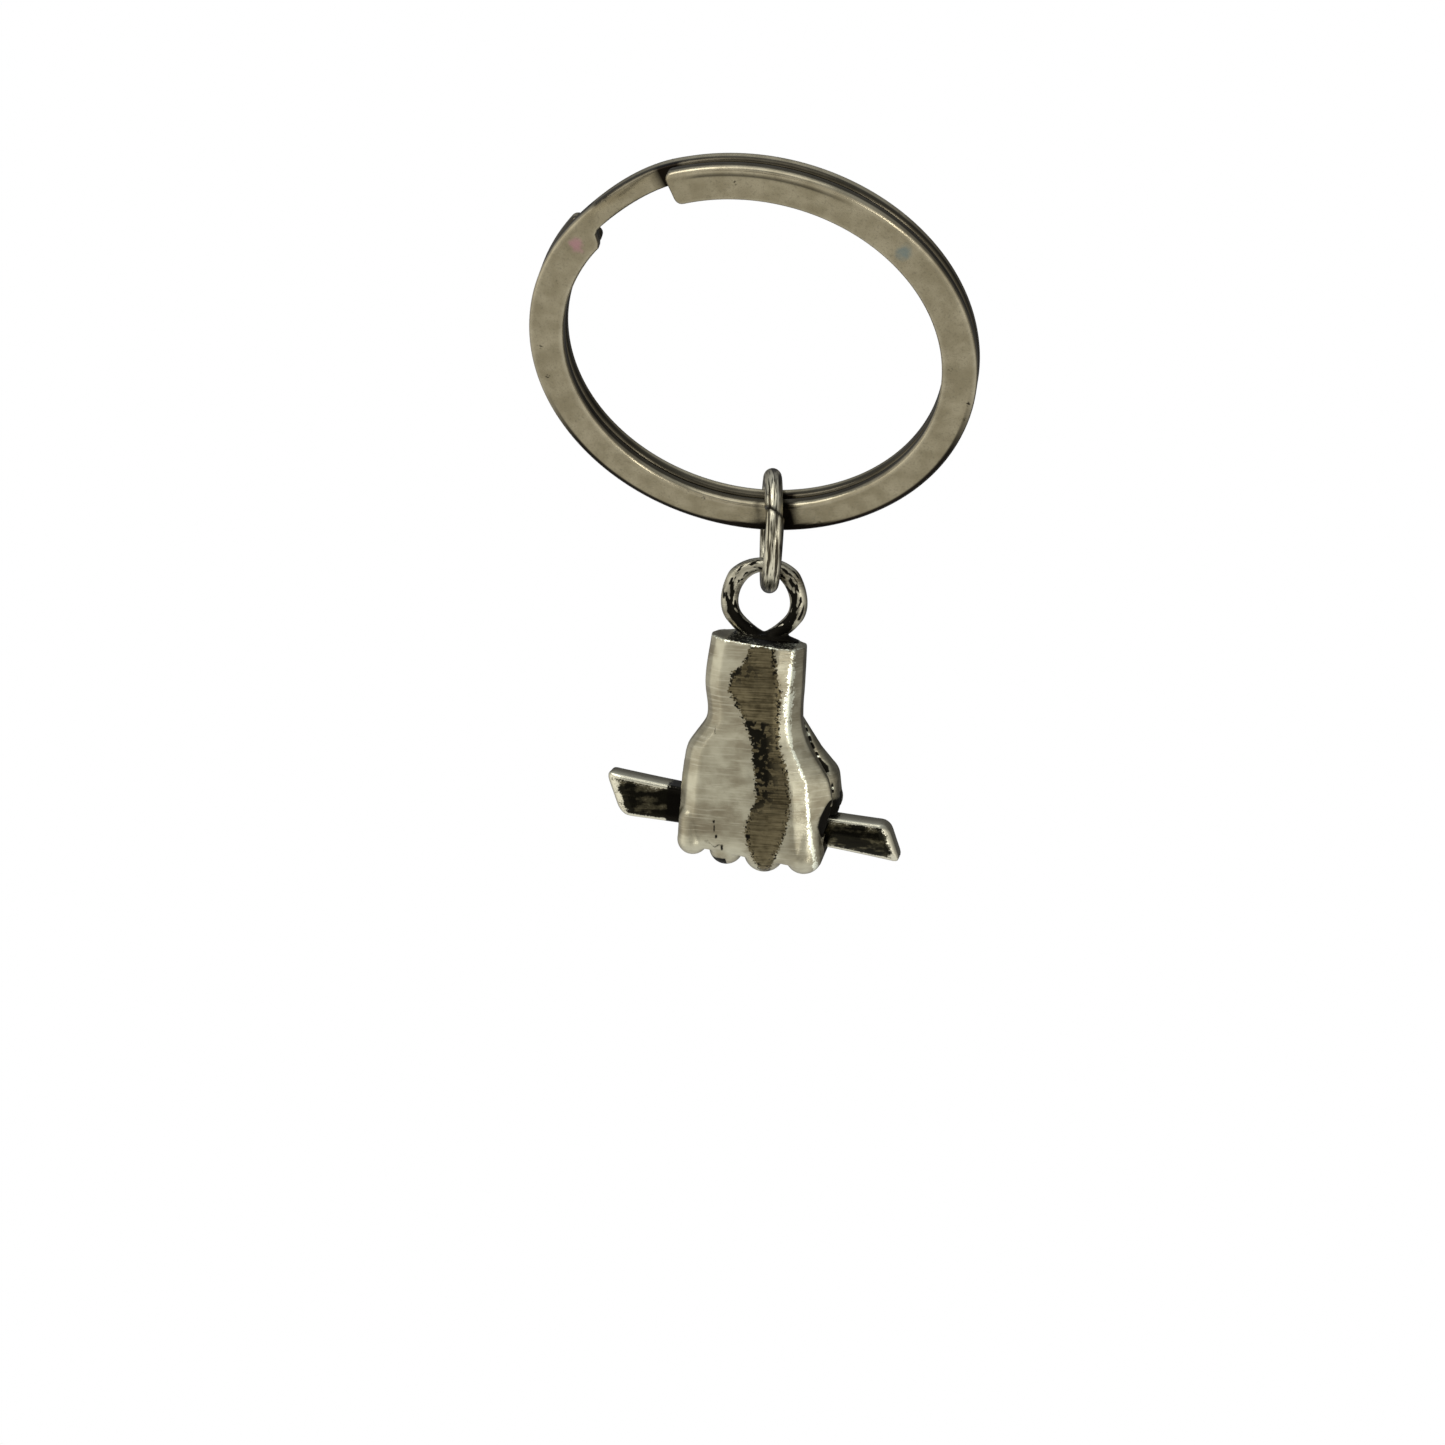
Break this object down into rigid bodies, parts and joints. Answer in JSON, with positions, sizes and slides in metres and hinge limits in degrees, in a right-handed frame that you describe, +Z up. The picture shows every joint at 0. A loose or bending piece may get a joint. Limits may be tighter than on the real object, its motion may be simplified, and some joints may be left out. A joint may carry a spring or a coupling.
{
  "type": "keychain",
  "caption": "Keychain with a flat split ring, a round-wire jump ring and a cast metal fist charm that grips a short bar.",
  "frame": {"origin": "the point inside the top of the split ring, between its two turns, where a hook or a finger holds it", "axes": "+X to the viewer's right along the split ring's level diameter, +Y away from the viewer, +Z up; the back of the hand faces -Y"},
  "size_m": [0.03, 0.0239, 0.0509],
  "materials": {
    "split_ring_nickel": "satin warm nickel plating, slightly mottled",
    "jump_ring_nickel": "bright nickel plating over drawn wire",
    "charm_pewter": "antiqued pewter plating, brushed, with black in the creases",
    "bar_dark_nickel": "polished, with bright worn edges"
  },
  "bodies": {
    "split_ring": {"split_ring": "split_ring_nickel"},
    "jump_ring": {"jump_ring": "jump_ring_nickel"},
    "charm": {"hanging_eye": "charm_pewter", "fist": "charm_pewter", "grip_bar": "bar_dark_nickel"}
  },
  "joints": [
    {"name": "jump_ring_swing", "type": "hinge", "parent": "split_ring", "child": "jump_ring", "pos_m": [-0.00012, 0.01459, -0.0237], "axis": [0.9763, 0.2164, 0], "range_deg": [-80, 105]},
    {"name": "charm_swing", "type": "hinge", "parent": "jump_ring", "child": "charm", "pos_m": [-0.0005, 0.01459, -0.02859], "axis": [0, 1, 0], "range_deg": [-70, 70]}
  ]
}
